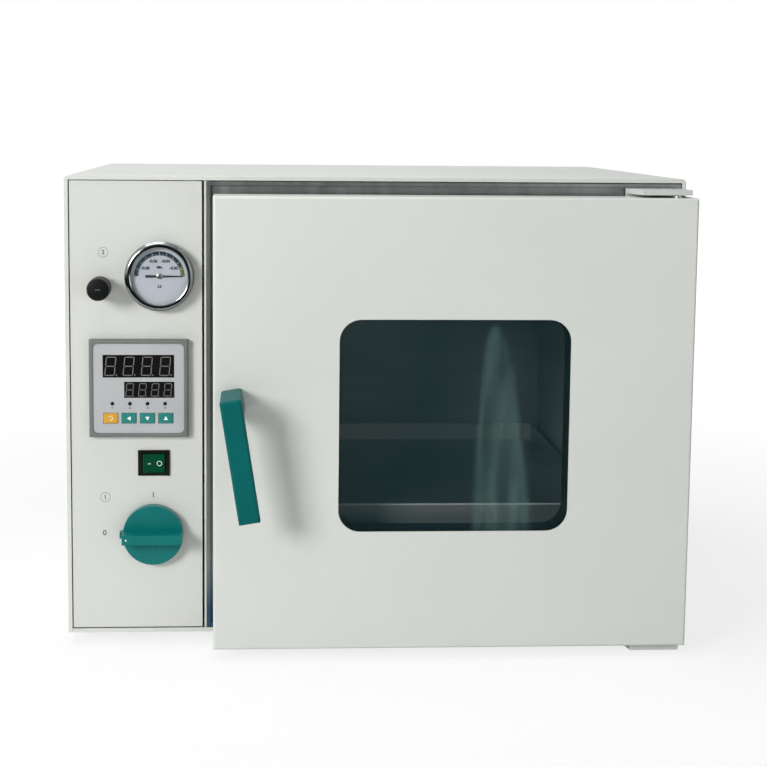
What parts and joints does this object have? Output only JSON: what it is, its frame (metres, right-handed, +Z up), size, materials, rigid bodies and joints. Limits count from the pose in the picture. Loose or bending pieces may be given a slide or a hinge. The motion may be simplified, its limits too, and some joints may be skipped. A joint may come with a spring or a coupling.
{
  "type": "vacuum oven",
  "caption": "Bench-top vacuum drying oven with a windowed side-hinged door, lever handle, chamber with shelf, and a left panel with vacuum gauge, controller, switch and valves.",
  "frame": {"origin": "centre of the footprint's bounding box at the underside of the feet", "axes": "+X to the user's right, -Y towards the user (door and panel face -Y), +Z up"},
  "size_m": [0.605, 0.579, 0.464],
  "materials": {
    "body_paint": "satin",
    "panel_paint": "satin",
    "hinge_paint": "satin",
    "stainless": "satin",
    "steel_parts": "satin",
    "chrome_ring": "polished",
    "brass_valves": "satin",
    "copper_tube": "satin",
    "green_plastic": "gloss",
    "black_plastic": "matte",
    "bezel_plastic": "matte",
    "facia_film": "satin",
    "display_film": "gloss",
    "lamp_lens": "gloss",
    "orange_key": "satin",
    "teal_key": "satin",
    "rocker_plastic": "gloss",
    "dial_paint": "matte",
    "needle_paint": "matte",
    "clear_glass": "polished",
    "window_glass": "polished",
    "silicone": "matte",
    "foot_rubber": "matte",
    "heater_silicone": "matte",
    "mineral_wool": "matte"
  },
  "bodies": {
    "root": {"casing": "body_paint", "base_pan": "body_paint", "rear_cover": "body_paint", "cover_screws": "steel_parts", "feet": "foot_rubber", "control_panel": "panel_paint", "partition": "panel_paint", "front_frame": "stainless", "chamber": "stainless", "chamber_ribs": "steel_parts", "chamber_stands": "steel_parts", "heater_pads": "heater_silicone", "temperature_probe": "steel_parts", "insulation_slabs": "mineral_wool", "door_seal": "silicone", "shelf_rails": "stainless", "hinge_plates": "hinge_paint", "hinge_pins": "steel_parts", "latch_striker": "steel_parts", "gauge_bezel": "chrome_ring", "gauge_lens": "clear_glass", "gauge_case": "black_plastic", "gauge_dial": "dial_paint", "controller_bezel": "bezel_plastic", "controller_case": "black_plastic", "controller_facia": "facia_film", "display_upper": "display_film", "display_lower": "display_film", "indicator_lamps": "lamp_lens", "switch_housing": "black_plastic", "vacuum_valve": "brass_valves", "vent_valve": "brass_valves", "vacuum_lines": "copper_tube", "air_lines": "copper_tube", "vacuum_nozzle": "steel_parts", "cable_gland": "black_plastic", "fuse_holder": "black_plastic", "solid_state_relay": "black_plastic", "terminal_block": "black_plastic"},
    "door": {"door_shell": "body_paint", "door_liner": "stainless", "window_pane": "window_glass", "door_glass": "clear_glass", "window_tunnel": "stainless", "door_insulation": "mineral_wool", "glass_clips": "steel_parts", "hinge_bushes": "brass_valves"},
    "handle": {"handle_lever": "green_plastic", "handle_spindle": "steel_parts", "latch_claw": "steel_parts"},
    "shelf": {"shelf": "stainless"},
    "vacuum_knob": {"vacuum_knob": "green_plastic", "valve_stem": "steel_parts"},
    "vent_knob": {"vent_knob": "black_plastic"},
    "rocker": {"rocker": "rocker_plastic"},
    "key_set": {"key_set": "orange_key"},
    "key_shift": {"key_shift": "teal_key"},
    "key_down": {"key_down": "teal_key"},
    "key_up": {"key_up": "teal_key"},
    "gauge_needle": {"gauge_needle": "needle_paint"}
  },
  "joints": [
    {"name": "door_swing", "type": "hinge", "parent": "root", "child": "door", "pos_m": [0.2858, -0.2095, 0.229], "axis": [0, 0, 1], "range_deg": [0, 110]},
    {"name": "handle_turn", "type": "hinge", "parent": "door", "child": "handle", "pos_m": [-0.1394, -0.2285, 0.255], "axis": [0, 1, 0], "range_deg": [-75, 18]},
    {"name": "shelf_slide", "type": "slide", "parent": "root", "child": "shelf", "axis": [0, -1, 0], "range_m": [0, 0.012]},
    {"name": "vacuum_valve_turn", "type": "hinge", "parent": "root", "child": "vacuum_knob", "pos_m": [-0.2183, -0.1775, 0.11248], "axis": [0, 1, 0], "range_deg": [0, 90]},
    {"name": "vent_valve_turn", "type": "hinge", "parent": "root", "child": "vent_knob", "pos_m": [-0.2675, -0.176, 0.35701], "axis": [0, 1, 0], "range_deg": [0, 720]},
    {"name": "power_switch_rock", "type": "hinge", "parent": "root", "child": "rocker", "pos_m": [-0.2176, -0.1772, 0.1829], "axis": [0, 0, -1], "range_deg": [0, 16]},
    {"name": "key_set_press", "type": "slide", "parent": "root", "child": "key_set", "axis": [0, 1, 0], "range_m": [0, 0.0006], "stiffness_N_per_m": 1000},
    {"name": "key_shift_press", "type": "slide", "parent": "root", "child": "key_shift", "axis": [0, 1, 0], "range_m": [0, 0.0006], "stiffness_N_per_m": 1000},
    {"name": "key_down_press", "type": "slide", "parent": "root", "child": "key_down", "axis": [0, 1, 0], "range_m": [0, 0.0006], "stiffness_N_per_m": 1000},
    {"name": "key_up_press", "type": "slide", "parent": "root", "child": "key_up", "axis": [0, 1, 0], "range_m": [0, 0.0006], "stiffness_N_per_m": 1000},
    {"name": "gauge_needle_turn", "type": "hinge", "parent": "root", "child": "gauge_needle", "pos_m": [-0.2108, -0.184, 0.36759], "axis": [0, -1, 0], "range_deg": [0, 180], "stiffness_Nm_per_rad": 0.0002}
  ]
}
